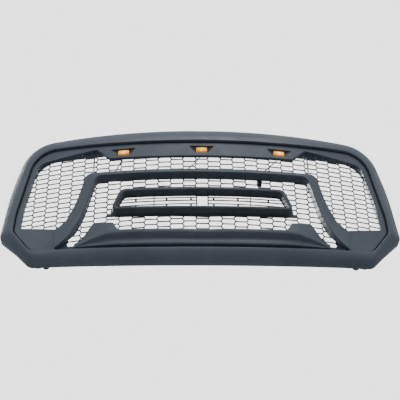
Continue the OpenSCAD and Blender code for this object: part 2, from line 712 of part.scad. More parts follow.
module frame_screws() {
    color("#8a8f94") screws(frame_screws_at, carrier_d - 8, 8, 4, 1.65);
}

module mesh_screws() {
    color("#8a8f94") screws(concat(wing_mesh_screws_at, centre_mesh_screws_at), mesh_d - mesh_t, 9, 3.4, 1.5);
}

module arch_screws() {
    color("#8a8f94") screws(arch_screws_at, mesh_d - mesh_t, 10, 3.4, 1.5);
}

module slot_screws() {
    color("#8a8f94") screws(slot_screws_at, mesh_d - mesh_t, 14, 3, 1.25);
}

module apron_screws() {
    color("#8a8f94") screws(apron_screws_at, frame_d - wall, 6, 2.6, 1.5);
}

module lamp_screws() {
    color("#8a8f94") for (x = lamp_x, s = [-1, 1]) lamp_screw_spot(x, s) translate([0, 6.6, 0]) difference() {
        union() {
            rod(3.2, -2, 0);
            rod(1.5, -fine, 2.8);
        }
        for (w = [0, 90]) rotate([0, w, 0]) translate([-2, 1, -0.4]) cube([4, 3, 0.8]);
    }
}

module tower_screws() {
    color("#8a8f94") screws(tower_screws_at, carrier_d - 9, 9, 4, 1.95);
}

module tab_screws() {
    color("#8a8f94") screws(tab_screws_at, carrier_d - 8, 8, 4, 1.95);
}

outer_surround();
surround_bosses();
rear_carrier();
inner_frame();
centre_arch();
slot_surround();
slot_grid();
lower_apron();
trim_bosses();
mesh_left();
mesh_centre();
mesh_right();
lamp_lens(-lamp_spacing);  // lamp_lens_left
lamp_lens(0);  // lamp_lens_centre
lamp_lens(lamp_spacing);  // lamp_lens_right
lamp_housing(-lamp_spacing);  // lamp_housing_left
lamp_housing(0);  // lamp_housing_centre
lamp_housing(lamp_spacing);  // lamp_housing_right
lamp_board(-lamp_spacing);  // lamp_board_left
lamp_board(0);  // lamp_board_centre
lamp_board(lamp_spacing);  // lamp_board_right
lamp_cap(-lamp_spacing);  // lamp_cap_left
lamp_cap(0);  // lamp_cap_centre
lamp_cap(lamp_spacing);  // lamp_cap_right
lamp_lead(0);  // lamp_lead_left
lamp_lead(1);  // lamp_lead_centre
lamp_lead(2);  // lamp_lead_right
harness_trunk();
harness_connector();
harness_clips();
tower(-1, 1);  // tower_upper_left
tower(1, 1);  // tower_upper_right
tower(-1, -1);  // tower_lower_left
tower(1, -1);  // tower_lower_right
bolt_inserts();
bonnet_tab(-1);  // bonnet_tab_left
bonnet_tab(1);  // bonnet_tab_right
top_seal();
surround_screws();
frame_screws();
mesh_screws();
arch_screws();
slot_screws();
apron_screws();
lamp_screws();
tower_screws();
tab_screws();
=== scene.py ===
"""Looks of a pickup's front grille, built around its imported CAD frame."""

import math

import bmesh
import bpy
from mathutils import Matrix, Vector
from mathutils.geometry import delaunay_2d_cdt


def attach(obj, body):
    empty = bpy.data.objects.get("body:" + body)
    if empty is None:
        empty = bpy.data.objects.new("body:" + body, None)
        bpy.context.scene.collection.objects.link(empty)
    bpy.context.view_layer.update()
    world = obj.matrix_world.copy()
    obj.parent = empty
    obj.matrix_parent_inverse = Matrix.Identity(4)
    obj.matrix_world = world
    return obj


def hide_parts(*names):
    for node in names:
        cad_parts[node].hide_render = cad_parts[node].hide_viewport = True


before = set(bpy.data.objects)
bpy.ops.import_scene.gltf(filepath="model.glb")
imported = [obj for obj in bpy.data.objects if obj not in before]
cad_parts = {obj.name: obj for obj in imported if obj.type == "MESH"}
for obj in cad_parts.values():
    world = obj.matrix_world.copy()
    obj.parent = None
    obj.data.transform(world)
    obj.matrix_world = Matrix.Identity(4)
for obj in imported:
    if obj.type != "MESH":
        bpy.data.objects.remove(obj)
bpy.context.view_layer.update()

# ---- Sizes, in millimetres, as in the CAD ----
MM = 0.001
PLAN_AXIS = 1584
CROWN_D = 152
FRAME_D = 143
MESH_D = 131
MESH_T = 3
ARCH_D = 170
SLOT_D = 168
APRON_D = 162
CARRIER_D = 100
WALL = 3
HALF_W = 635.5
TOP_Z = 251
LAMP_X = (-250, 0, 250)
LAMP_Z = 144
SIDES = {-250: "left", 0: "centre", 250: "right"}

# An outline's corner is (x, z, fillet radius, steps on the fillet, steps on the straight after it).
# A closed outline gives its right-hand half, from the top centre to the bottom centre.
# The arch's two edges run from its right foot to its left foot.
SURROUND_EDGE = [(0, 249, 9000, 6, 24), (570, 251, 105, 14, 4), (616, 66, 900, 8, 4),
                 (HALF_W, -106, 30, 8, 6), (524, -238, 45, 8, 6), (0, -306, 3600, 40, 3)]
GROOVE_EDGE = [(0, 168, 9000, 6, 24), (535, 184, 80, 14, 4), (582.5, -48, 250, 8, 4),
               (586, -106, 25, 8, 6), (524, -191, 45, 8, 6), (0, -252, 4000, 40, 3)]
WINDOW_EDGE = [(0, 117, 8000, 8, 8), (290, 123, 6, 6, 2), (336, 165, 12, 6, 8),
               (522, 139.5, 30, 8, 4), (554, 0, 300, 6, 4), (564, -100, 9, 6, 4),
               (446, -126, 8, 6, 4), (406, -196, 12, 6, 8), (0, -209, 5000, 8, 4)]
SLOT_EDGE = [(0, -21, 9000, 8, 10), (253, -17, 24, 12, 3), (281, -91, 14, 12, 10),
             (0, -104, 4200, 10, 3)]
SLOT_LIP_EDGE = [(0, -31, 9000, 8, 10), (242, -28, 17, 12, 3), (268, -84, 8, 12, 10),
                 (0, -94, 4600, 10, 3)]
ARCH_INNER_EDGE = [(447, -199, 0, 0, 6), (400, -172, 80, 10, 3), (363, -95, 300, 8, 6),
                   (330, 40, 24, 12, 16), (0, 29, 9000, 8, 16), (-330, 40, 24, 12, 6),
                   (-363, -95, 300, 8, 3), (-400, -172, 80, 10, 6), (-447, -199, 0, 0, 1)]
ARCH_OUTER_EDGE = [(452, -133, 0, 0, 6), (428, -110, 60, 10, 3), (391, -27, 300, 8, 6),
                   (366, 80, 26, 12, 16), (0, 69, 9000, 8, 16), (-366, 80, 26, 12, 6),
                   (-391, -27, 300, 8, 3), (-428, -110, 60, 10, 6), (-452, -133, 0, 0, 1)]


# ---- Outline helpers ----
def unit(v):
    return v.normalized()


def turn(a, b, c):
    u = unit(b - a)
    v = unit(c - b)
    return math.atan2(u.x * v.y - u.y * v.x, u.x * v.x + u.y * v.y)


def fillet(a, b, c, radius, steps):
    """Points of the arc that rounds the corner b between a and c."""
    u = unit(b - a)
    angle = turn(a, b, c)
    side = Vector((-u.y, u.x)) * radius * (1 if angle > 0 else -1)
    middle = b - u * radius * math.tan(abs(angle) / 2) + side
    return [middle + Matrix.Rotation(angle * i / steps, 2) @ -side for i in range(steps + 1)]


def joined(corners, is_closed):
    """The outline's points: each corner's arc, then the steps along the straight to the next."""
    count = len(corners)
    flat = [Vector(c[:2]) for c in corners]
    arcs = [fillet(flat[i - 1], flat[i], flat[(i + 1) % count], c[2], c[3]) if c[3] else [flat[i]]
            for i, c in enumerate(corners)]
    points = []
    for i, arc in enumerate(arcs):
        points += arc
        if is_closed or i < count - 1:
            following = arcs[(i + 1) % count][0]
            steps = corners[i][4]
            points += [arc[-1].lerp(following, k / steps) for k in range(1, steps)]
    return points


def both_sides(half):
    """A closed list of corners from the right-hand half of it."""
    mirrored = [(-half[i][0], *half[i][1:4], half[i - 1][4]) for i in range(len(half) - 2, 0, -1)]
    return list(half) + mirrored


def inset(corners, distance):
    """Moves every side inward by distance, or outward where it is negative."""
    count = len(corners)
    moved = []
    for i, c in enumerate(corners):
        a, b, d = (Vector(corners[k % count][:2]) for k in (i - 1, i, i + 1))
        u = unit(b - a)
        w = unit(d - b)
        m = Vector((u.y, -u.x))
        n = Vector((w.y, -w.x))
        p = b + (m + n) * distance / (1 + m.dot(n))
        radius = max(c[2] + distance * (1 if turn(a, b, d) > 0 else -1), 1)
        moved.append((p.x, p.y, radius, c[3], c[4]))
    return moved


def outline(half, distance=0.0):
    return joined(inset(both_sides(half), distance), True)


def between(x, pairs):
    """Straight-line lookup of x, its sign dropped, in (x, value) pairs."""
    x = abs(x)
    if x <= pairs[0][0]:
        return pairs[0][1]
    for (x0, v0), (x1, v1) in zip(pairs, pairs[1:]):
        if x <= x1:
            return v0 + (v1 - v0) * (x - x0) / (x1 - x0)
    return pairs[-1][1]


# ---- The plan curve ----
def on_plan(x, depth, z):
    """A point on a moulding's curve, in metres.

    Depth is the distance in front of the mounting plane, on the centre line.
    """
    return Vector((x, PLAN_AXIS - math.sqrt((PLAN_AXIS + depth) ** 2 - x * x), z)) * MM


def plan_matrix(x, depth, z):
    """Axes in millimetres at a point of the plan curve: X along it, Y out of the back, Z up."""
    angle = math.asin(x / (PLAN_AXIS + depth))
    turned = Matrix.Rotation(angle, 4, "Z") @ Matrix.Scale(MM, 4)
    return Matrix.Translation(on_plan(x, depth, z)) @ turned


# ---- Mesh helpers ----
def make_piece(name, mesh, material, replaced, smooth_below=38):
    """Adds a piece that stands for the replaced CAD nodes."""
    piece = bpy.data.objects.new(name, mesh)
    bpy.context.scene.collection.objects.link(piece)
    mesh.materials.clear()
    mesh.materials.append(material)
    mesh.shade_smooth()
    mesh.set_sharp_from_angle(angle=math.radians(smooth_below))
    even = piece.modifiers.new("even_normals", "WEIGHTED_NORMAL")
    even.keep_sharp = True
    even.weight = 60
    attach(piece, "root")
    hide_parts(*replaced)
    return piece


def mesh_from(name, points, faces):
    mesh = bpy.data.meshes.new(name)
    mesh.from_pydata([tuple(p) for p in points], [], faces)
    mesh.validate()
    work = bmesh.new()
    work.from_mesh(mesh)
    bmesh.ops.remove_doubles(work, verts=work.verts, dist=2e-6)
    bmesh.ops.recalc_face_normals(work, faces=work.faces)
    work.to_mesh(mesh)
    work.free()
    return mesh


def loft(name, sections, is_ring):
    """Joins equal sections of points with quads. An open loft gets its two ends closed."""
    k = len(sections[0])
    m = len(sections)
    points = [p for section in sections for p in section]
    faces = []
    for i in range(m if is_ring else m - 1):
        far = ((i + 1) % m) * k
        for j in range(k):
            after = (j + 1) % k
            faces.append((i * k + j, i * k + after, far + after, far + j))
    if not is_ring:
        faces.append(tuple(range(k)))
        faces.append(tuple((m - 1) * k + j for j in reversed(range(k))))
    return mesh_from(name, points, faces)


def across(p, q, profile):
    """A section from p to q. Profile pairs are (millimetres from p, depth)."""
    way = unit(q - p)
    return [on_plan(*((c := p + way * a).x, d, c.y)) for a, d in profile]


def rounded(corners):
    """A closed profile with its corners (across, depth, radius, steps) filleted."""
    return [tuple(p) for p in joined([(*c, 1) for c in corners], True)]


def area(loop):
    return sum(a[0] * b[1] - b[0] * a[1] for a, b in zip(loop, loop[1:] + loop[:1])) / 2


def offset_loop(loop, distance):
    """Moves a closed loop's corners outward by distance, or inward where it is negative."""
    flip = 1 if area(loop) > 0 else -1
    moved = []
    for i, point in enumerate(loop):
        a, b, c = (Vector(q) for q in (loop[i - 1], point, loop[(i + 1) % len(loop)]))
        u = unit(b - a)
        w = unit(c - b)
        m = Vector((u.y, -u.x)) * flip
        n = Vector((w.y, -w.x)) * flip
        p = b + (m + n) * distance / max(1 + m.dot(n), 0.4)
        moved.append((p.x, p.y))
    return moved


def inside_faces(faces, walls):
    """Numbers of the faces reached from the outer border by crossing an odd number of walls."""
    beside = {}
    for f, corners in enumerate(faces):
        for i, a in enumerate(corners):
            beside.setdefault(frozenset((a, corners[(i + 1) % len(corners)])), []).append(f)
    inside = {}
    waiting = []
    for edge, near in beside.items():
        if len(near) == 1 and near[0] not in inside:
            inside[near[0]] = edge in walls
            waiting.append(near[0])
    while waiting:
        f = waiting.pop()
        corners = faces[f]
        for i, a in enumerate(corners):
            edge = frozenset((a, corners[(i + 1) % len(corners)]))
            for g in beside[edge]:
                if g not in inside:
                    inside[g] = inside[f] != (edge in walls)
                    waiting.append(g)
    return [f for f in range(len(faces)) if inside.get(f)]


def filled(loops):
    """Points and triangles of the area inside the first loop and outside the rest."""
    points = [Vector(p) for loop in loops for p in loop]
    edges = []
    for loop in loops:
        first = len(edges)
        edges += [(first + i, first + (i + 1) % len(loop)) for i in range(len(loop))]
    points, edges, faces, _, sources, _ = delaunay_2d_cdt(points, edges, [], 0, 1e-4)
    walls = {frozenset(e) for e, origin in zip(edges, sources) if origin}
    return points, [faces[f] for f in inside_faces(faces, walls)]


def bent_plate(name, loops, back, front, edge, column=20):
    """A plate with rounded edges, bent to the plan curve.

    Its loops of (x, z) are the outline, then the holes. It is cut at every column for the bend.
    """
    rounding = ((1, 0), (0.29, 0.29), (0, 1))
    stack = [(a, back + b * edge) for a, b in ((k * edge, c) for k, c in rounding)]
    stack += [(a * edge, front - b * edge) for a, b in reversed(rounding)]
    loops = [[(p[0], p[1]) for p in loop] for loop in loops]
    outward = [-1] + [1] * (len(loops) - 1)
    work = bmesh.new()
    for side, loop in zip(outward, loops):
        rings = []
        for draw, depth in stack:
            rings.append([work.verts.new((x, z, depth)) for x, z in offset_loop(loop, side * draw)])
        for lower, upper in zip(rings, rings[1:]):
            for i in range(len(loop)):
                j = (i + 1) % len(loop)
                work.faces.new((lower[i], lower[j], upper[j], upper[i]))
    ends = [offset_loop(loop, side * edge) for side, loop in zip(outward, loops)]
    points, triangles = filled(ends)
    for depth in (back, front):
        placed = [work.verts.new((p.x, p.y, depth)) for p in points]
        for corners in triangles:
            work.faces.new([placed[i] for i in corners])
    bmesh.ops.remove_doubles(work, verts=work.verts, dist=0.002)
    reach = int(HALF_W / column) + 1
    for i in range(-reach, reach + 1):
        everything = list(work.verts) + list(work.edges) + list(work.faces)
        bmesh.ops.bisect_plane(work, geom=everything, plane_co=(i * column, 0, 0),
                               plane_no=(1, 0, 0), dist=0.01)
    for v in work.verts:
        v.co = on_plan(v.co.x, v.co.z, v.co.y)
    bmesh.ops.recalc_face_normals(work, faces=work.faces)
    mesh = bpy.data.meshes.new(name)
    work.to_mesh(mesh)
    work.free()
    return mesh


def merged(name, meshes):
    """One mesh out of several."""
    work = bmesh.new()
    for mesh in meshes:
        work.from_mesh(mesh)
        bpy.data.meshes.remove(mesh)
    mesh = bpy.data.meshes.new(name)
    work.to_mesh(mesh)
    work.free()
    return mesh


def box_mesh(name, low, high, radius, matrix, steps=2):
    """A box with rounded edges, in the local axes of matrix."""
    work = bmesh.new()
    size = [h - l for l, h in zip(low, high)]
    bmesh.ops.create_cube(work, size=1)
    for v in work.verts:
        v.co = Vector([l + s * (c + 0.5) for l, s, c in zip(low, size, v.co)])
    bmesh.ops.bevel(work, geom=list(work.edges), offset=radius, segments=steps, affect="EDGES",
                    profile=0.5)
    work.transform(matrix)
    mesh = bpy.data.meshes.new(name)
    work.to_mesh(mesh)
    work.free()
    return mesh


def refined(node, material, edge, steps=2):
    """A CAD node's own shape with its sharp edges rounded."""
    work = bmesh.new()
    work.from_mesh(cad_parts[node].data)
    bmesh.ops.remove_doubles(work, verts=work.verts, dist=5e-6)
    bmesh.ops.dissolve_limit(work, angle_limit=math.radians(0.6), verts=work.verts, edges=work.edges)
    sharp = [e for e in work.edges if len(e.link_faces) == 2 and e.calc_face_angle(0) > math.radians(50)]
    bmesh.ops.bevel(work, geom=sharp, offset=edge * MM, segments=steps, affect="EDGES", profile=0.5,
                    clamp_overlap=True)
    mesh = bpy.data.meshes.new(node + "_refined")
    work.to_mesh(mesh)
    work.free()
    return make_piece(node + "_refined", mesh, material, (node,))


# ---- Materials ----
def new_material(name):
    material = bpy.data.materials.new(name)
    material.use_nodes = True
    shader = material.node_tree.nodes["Principled BSDF"]
    return material, material.node_tree, shader


def texture_place(tree, stretch=(1, 1, 1)):
    place = tree.nodes.new("ShaderNodeTexCoord")
    mapping = tree.nodes.new("ShaderNodeMapping")
    mapping.inputs["Scale"].default_value = stretch
    tree.links.new(place.outputs["Object"], mapping.inputs["Vector"])
    return mapping.outputs["Vector"]


def noise(tree, vector, scale, detail=3.0, roughness=0.5):
    node = tree.nodes.new("ShaderNodeTexNoise")
    node.inputs["Scale"].default_value = scale
    node.inputs["Detail"].default_value = detail
    node.inputs["Roughness"].default_value = roughness
    tree.links.new(vector, node.inputs["Vector"])
    return node.outputs["Fac"]


def span(tree, value, low, high, start=0.3, end=0.7):
    """Maps a value from start..end to low..high."""
    node = tree.nodes.new("ShaderNodeMapRange")
    node.inputs["From Min"].default_value = start
    node.inputs["From Max"].default_value = end
    node.inputs["To Min"].default_value = low
    node.inputs["To Max"].default_value = high
    tree.links.new(value, node.inputs["Value"])
    return node.outputs["Result"]


def blend_colours(tree, factor, first, second):
    node = tree.nodes.new("ShaderNodeMix")
    node.data_type = "RGBA"
    for socket, value in ((node.inputs[6], first), (node.inputs[7], second)):
        if isinstance(value, tuple):
            socket.default_value = (*value, 1)
        else:
            tree.links.new(value, socket)
    tree.links.new(factor, node.inputs[0])
    return node.outputs[2]


def bumped(tree, shader, heights):
    """Chains bumps of (height, strength, distance in metres) into the shader's normal."""
    normal = None
    for height, strength, distance in heights:
        node = tree.nodes.new("ShaderNodeBump")
        node.inputs["Strength"].default_value = strength
        node.inputs["Distance"].default_value = distance
        tree.links.new(height, node.inputs["Height"])
        if normal:
            tree.links.new(normal, node.inputs["Normal"])
        normal = node.outputs["Normal"]
    tree.links.new(normal, shader.inputs["Normal"])


def edge_highlight_mask(tree, start, end):
    """Where a surface bends outward: its convex edges, for a painted highlight."""
    geometry = tree.nodes.new("ShaderNodeNewGeometry")
    return span(tree, geometry.outputs["Pointiness"], 0, 1, start, end)


def moulded_plastic(name, colour, roughness, grain=520, grain_depth=0.00012, edge_highlight=0.35, sheen=0.12):
    """Grained thermoplastic: cloudy tone, fine pebble grain, a painted highlight on its convex edges and
    faint flow marks.
    """
    material, tree, shader = new_material(name)
    place = texture_place(tree)
    flow = texture_place(tree, (1, 6, 9))
    darker = tuple(c * 0.86 for c in colour)
    lighter = tuple(min(c * 1.16 + 0.004, 1) for c in colour)
    # Lighter colour for the dust specks, and for the painted highlight on convex edges
    dust_and_highlight_colour = tuple(min(c * 1.9 + 0.02, 1) for c in colour)
    cloud = span(tree, noise(tree, place, 7, 4), 0, 1)
    base = blend_colours(tree, cloud, darker, lighter)
    dust = span(tree, noise(tree, place, 190, 6, 0.7), 0, 0.22, 0.52, 0.8)
    dusty = blend_colours(tree, dust, base, dust_and_highlight_colour)
    # Painted highlight: convex edges lightened in patches towards the lighter colour
    edges = tree.nodes.new("ShaderNodeMath")
    edges.operation = "MULTIPLY"
    tree.links.new(edge_highlight_mask(tree, 0.52, 0.62), edges.inputs[0])
    tree.links.new(span(tree, noise(tree, place, 60, 4), 0, edge_highlight), edges.inputs[1])
    tree.links.new(blend_colours(tree, edges.outputs[0], dusty, dust_and_highlight_colour), shader.inputs["Base Color"])
    rough = span(tree, noise(tree, place, 24, 5, 0.6), roughness - 0.06, roughness + 0.07)
    tree.links.new(rough, shader.inputs["Roughness"])
    shader.inputs["Specular IOR Level"].default_value = 0.5
    shader.inputs["Sheen Weight"].default_value = sheen
    shader.inputs["Sheen Roughness"].default_value = 0.6
    pebble = tree.nodes.new("ShaderNodeTexVoronoi")
    pebble.feature = "SMOOTH_F1"
    pebble.inputs["Scale"].default_value = grain
    tree.links.new(place, pebble.inputs["Vector"])
    bumped(tree, shader, [(pebble.outputs["Distance"], 0.35, grain_depth),
                          (noise(tree, place, 1400, 3), 0.2, grain_depth),
                          (noise(tree, flow, 5, 2), 0.12, 0.0012)])
    return material


def metal(name, colour, roughness, streaks):
    """Plated or turned metal with fine machining lines and a mottled finish."""
    material, tree, shader = new_material(name)
    lines = texture_place(tree, streaks)
    place = texture_place(tree)
    tone = span(tree, noise(tree, place, 90, 5, 0.65), 0, 1)
    stained = tuple(c * 0.62 for c in colour)
    tree.links.new(blend_colours(tree, tone, stained, colour), shader.inputs["Base Color"])
    shader.inputs["Metallic"].default_value = 1
    tree.links.new(span(tree, noise(tree, place, 45, 4), roughness - 0.08, roughness + 0.12),
                   shader.inputs["Roughness"])
    bumped(tree, shader, [(noise(tree, lines, 700, 4), 0.25, 0.0001),
                          (noise(tree, place, 260, 3), 0.2, 0.0002)])
    return material


# Where a lens's glow and its painted highlight are brightest, as shares of its own box
GLOW_AND_HIGHLIGHT_CENTRE = (0.56, 0.3, 0.6)


def amber_lens(name):
    """Clear amber plastic over an emitter that glows; its emission is brightest and palest near one point, as
    the lamp's glow and a painted highlight.
    """
    material, tree, shader = new_material(name)
    place = texture_place(tree)
    tone = span(tree, noise(tree, place, 70, 3), 0, 1)
    amber = blend_colours(tree, tone, (0.8, 0.4, 0.02), (0.9, 0.52, 0.05))
    tree.links.new(amber, shader.inputs["Base Color"])
    shader.inputs["Roughness"].default_value = 0.12
    shader.inputs["Coat Weight"].default_value = 0.8
    shader.inputs["Coat Roughness"].default_value = 0.05
    shader.inputs["Transmission Weight"].default_value = 0.25
    shader.inputs["IOR"].default_value = 1.5
    within = tree.nodes.new("ShaderNodeTexCoord")
    away = tree.nodes.new("ShaderNodeVectorMath")
    away.operation = "DISTANCE"
    away.inputs[1].default_value = GLOW_AND_HIGHLIGHT_CENTRE
    tree.links.new(within.outputs["Generated"], away.inputs[0])
    reach = away.outputs["Value"]
    # Painted highlight: the emission is paler and stronger near one point of the lens
    highlight_share = span(tree, reach, 1, 0, 0.12, 0.6)
    glow_and_highlight = blend_colours(tree, highlight_share, (1.0, 0.5, 0.0), (1.0, 0.82, 0.3))
    tree.links.new(glow_and_highlight, shader.inputs["Emission Color"])
    tree.links.new(span(tree, reach, 1.5, 0.2, 0.12, 0.6), shader.inputs["Emission Strength"])
    flutes = tree.nodes.new("ShaderNodeTexWave")
    flutes.inputs["Scale"].default_value = 190
    flutes.inputs["Distortion"].default_value = 0.3
    tree.links.new(place, flutes.inputs["Vector"])
    bumped(tree, shader, [(flutes.outputs["Fac"], 0.3, 0.0004)])
    return material


def foam(name):
    """Closed-cell foam with open pores on its cut faces."""
    material, tree, shader = new_material(name)
    place = texture_place(tree)
    tone = span(tree, noise(tree, place, 160, 5, 0.7), 0, 1)
    tree.links.new(blend_colours(tree, tone, (0.014, 0.015, 0.016), (0.045, 0.046, 0.048)),
                   shader.inputs["Base Color"])
    tree.links.new(span(tree, noise(tree, place, 80, 3), 0.85, 0.98), shader.inputs["Roughness"])
    pores = tree.nodes.new("ShaderNodeTexVoronoi")
    pores.inputs["Scale"].default_value = 620
    tree.links.new(place, pores.inputs["Vector"])
    bumped(tree, shader, [(pores.outputs["Distance"], 0.9, 0.0006)])
    return material


def laminate(name):
    """Lacquered circuit board with its glass weave showing."""
    material, tree, shader = new_material(name)
    place = texture_place(tree)
    tone = span(tree, noise(tree, place, 120, 3), 0, 1)
    tree.links.new(blend_colours(tree, tone, (0.02, 0.11, 0.04), (0.04, 0.18, 0.07)),
                   shader.inputs["Base Color"])
    tree.links.new(span(tree, noise(tree, place, 60, 3), 0.22, 0.36), shader.inputs["Roughness"])
    weave = tree.nodes.new("ShaderNodeTexChecker")
    weave.inputs["Scale"].default_value = 1500
    tree.links.new(place, weave.inputs["Vector"])
    bumped(tree, shader, [(weave.outputs["Fac"], 0.2, 0.0001)])
    return material


surround_plastic = moulded_plastic("surround_plastic", (0.086, 0.108, 0.132), 0.44)
frame_plastic = moulded_plastic("frame_plastic", (0.074, 0.094, 0.118), 0.46)
arch_plastic = moulded_plastic("arch_plastic", (0.074, 0.093, 0.116), 0.44)
apron_plastic = moulded_plastic("apron_plastic", (0.072, 0.091, 0.114), 0.46)
slot_plastic = moulded_plastic("slot_plastic", (0.06, 0.074, 0.09), 0.38)
grid_plastic = moulded_plastic("grid_plastic", (0.05, 0.062, 0.076), 0.5)
mesh_plastic = moulded_plastic("mesh_plastic", (0.046, 0.06, 0.076), 0.5, edge_highlight=0.25)
structure_plastic = moulded_plastic("structure_plastic", (0.03, 0.034, 0.039), 0.56, grain=340, edge_highlight=0.3)
housing_plastic = moulded_plastic("housing_plastic", (0.022, 0.028, 0.036), 0.5, edge_highlight=0.2)
cap_plastic = moulded_plastic("cap_plastic", (0.02, 0.021, 0.023), 0.52, grain=420, edge_highlight=0.25)
connector_plastic = moulded_plastic("connector_plastic", (0.022, 0.023, 0.025), 0.34, grain=800, edge_highlight=0.25)
clip_plastic = moulded_plastic("clip_plastic", (0.016, 0.017, 0.019), 0.42, grain=700, edge_highlight=0.2)
cable_rubber = moulded_plastic("cable_rubber", (0.014, 0.0145, 0.016), 0.6, grain=900, edge_highlight=0.1, sheen=0.3)
brass = metal("insert_brass", (0.76, 0.56, 0.27), 0.28, (1, 1, 12))
zinc = metal("screw_steel", (0.56, 0.58, 0.6), 0.34, (1, 1, 1))
lens_plastic = amber_lens("lens_amber")
seal_foam = foam("seal_foam")
board_laminate = laminate("board_laminate")


# ---- Outer surround ----
# Its finer corners bulge past the CAD's, so the edge is drawn in by this much
FINER_BULGE = 0.2
# The outer return's (height, depth) where it is shortest, at the bottom, and where it is longest
RETURN_LOW = (-200, CARRIER_D + 21)
RETURN_HIGH = (-106, CARRIER_D - 6)


def surround_edge_depth(z):
    return CROWN_D - 46 + (TOP_Z - z) * 0.048


def return_depth(z):
    share = min(max((z - RETURN_LOW[0]) / (RETURN_HIGH[0] - RETURN_LOW[0]), 0), 1)
    return RETURN_LOW[1] + (RETURN_HIGH[1] - RETURN_LOW[1]) * share


def surround_section(p, q):
    """The crowned skin between the outer edge p and the inner lip q, with a return at each side."""
    width = (q - p).length
    edge = surround_edge_depth(p.y)
    back = return_depth(p.y)
    crown = [(t * width, edge + (CROWN_D - edge) * (1 - (1 - t) ** 1.9)) for t in
             (0.05, 0.1, 0.17, 0.25, 0.35, 0.46, 0.58, 0.7, 0.82)]
    skin = [(0, edge - 3), (0.25, edge - 1.2), (1, edge + 0.4)]
    lip = [(width - 3.4, CROWN_D - 0.3), (width - 1.9, CROWN_D - 0.5), (width - 0.8, CROWN_D - 1.2),
           (width - 0.15, CROWN_D - 2.4), (width, CROWN_D - 4)]
    inside = [(width, CARRIER_D), (width - WALL, CARRIER_D), (width - WALL, CROWN_D - 5),
              (width * 0.58, crown[6][1] - 3.2), (width * 0.25, crown[3][1] - 3.3), (WALL, edge - 3.5),
              (WALL, back), (0, back)]
    return across(p, q, skin + crown + lip + inside)


def build_surround():
    outer = outline(SURROUND_EDGE, FINER_BULGE)
    inner = outline(GROOVE_EDGE, -2.5)
    mesh = loft("surround_skin", [surround_section(p, q) for p, q in zip(outer, inner)], True)
    make_piece("surround_skin", mesh, surround_plastic, ("outer_surround",), 40)


# ---- Inner frame ----
POCKET = [(-39, 13.5), (39, 13.5), (21, -12.5), (-21, -12.5)]
FRAME_BACK = CARRIER_D - 8
# The front of the frame's walls, just behind the front of its face
WALL_FRONT = FRAME_D - 0.9


def pocket_corners(grow=0.0):
    return [(x + math.copysign(grow * 1.4, x), z + math.copysign(grow, z)) for x, z in POCKET]


def build_frame():
    groove = outline(GROOVE_EDGE, 1.5)
    wall_inside = outline(GROOVE_EDGE, 3.5 + WALL)
    window = outline(WINDOW_EDGE)
    pockets = [[(x + px, LAMP_Z + pz) for px, pz in pocket_corners()] for x in LAMP_X]
    face = bent_plate("frame_face", [groove, window] + pockets, FRAME_D - WALL, FRAME_D, 1.1)
    rim = bent_plate("frame_rim", [groove, wall_inside], FRAME_BACK, WALL_FRONT, 0.6)
    flange = bent_plate("frame_flange", [outline(GROOVE_EDGE, -10.5), wall_inside], FRAME_BACK,
                        CARRIER_D - 4.1, 0.5)
    reveal = bent_plate("frame_reveal", [outline(WINDOW_EDGE, -WALL), window], MESH_D,
                        WALL_FRONT, 0.5)
    mesh = merged("frame_shell", [face, rim, flange, reveal])
    make_piece("frame_shell", mesh, frame_plastic, ("inner_frame",), 50)


# ---- Centre arch ----
def arch_section(p, q):
    """A wedge: a bead along the inner edge p, then a slope down to the outer edge q."""
    width = (q - p).length
    x = p.x
    crest = between(x, [(395, ARCH_D), (420, ARCH_D - 6), (455, FRAME_D + 8)])
    foot = between(x, [(385, MESH_D), (400, FRAME_D)])
    bead = [(0, foot), (0, crest - 3.6), (0.25, crest - 2), (0.9, crest - 0.8), (1.9, crest - 0.2),
            (3.2, crest), (4.6, crest - 0.25), (6, crest - 1)]
    fall = crest - foot - 6
    slope = [(0.35 * width, foot + 5 + fall * 0.72), (0.6 * width, foot + 5 + fall * 0.43),
             (0.93 * width, foot + 6.6), (width - 0.9, foot + 5), (width, foot + 3.2), (width, foot)]
    hollow = [(0.9 * width, foot), (0.2 * width, crest - 8), (3.4, crest - 6.5), (3.2, foot)]
    return across(p, q, bead + slope + hollow)


def build_arch():
    inner = joined(ARCH_INNER_EDGE, False)
    outer = joined(ARCH_OUTER_EDGE, False)
    mesh = loft("arch_shell", [arch_section(p, q) for p, q in zip(inner, outer)], False)
    make_piece("arch_shell", mesh, arch_plastic, ("centre_arch",), 34)


# ---- Slot surround and grid ----
def slot_section(p, q):
    """A rounded bead between the outer edge p and the lip q. Its outer wall spreads towards the mesh."""
    width = (q - p).length
    flare = 3.2
    profile = rounded([(-flare, MESH_D, 0.5, 2), (0, SLOT_D, 4.5, 8), (width, SLOT_D, 3.4, 8),
                       (width, MESH_D + 5, 0.8, 3), (width - 2.5, MESH_D + 5, 0.8, 3),
                       (width - 2.6, SLOT_D - 3, 1.2, 3), (2.6, SLOT_D - 3, 1.2, 3),
                       (2.4 - flare, MESH_D, 0.5, 2)])
    return across(p, q, profile)


def build_slot():
    outer = outline(SLOT_EDGE)
    lip = outline(SLOT_LIP_EDGE)
    ring = loft("slot_ring", [slot_section(p, q) for p, q in zip(outer, lip)], True)
    flange = bent_plate("slot_flange", [outline(SLOT_EDGE, -7), outline(SLOT_EDGE, 2)], MESH_D,
                        MESH_D + 2.5, 0.7)
    make_piece("slot_ring", merged("slot_ring", [ring, flange]), slot_plastic,
               ("slot_surround",), 40)


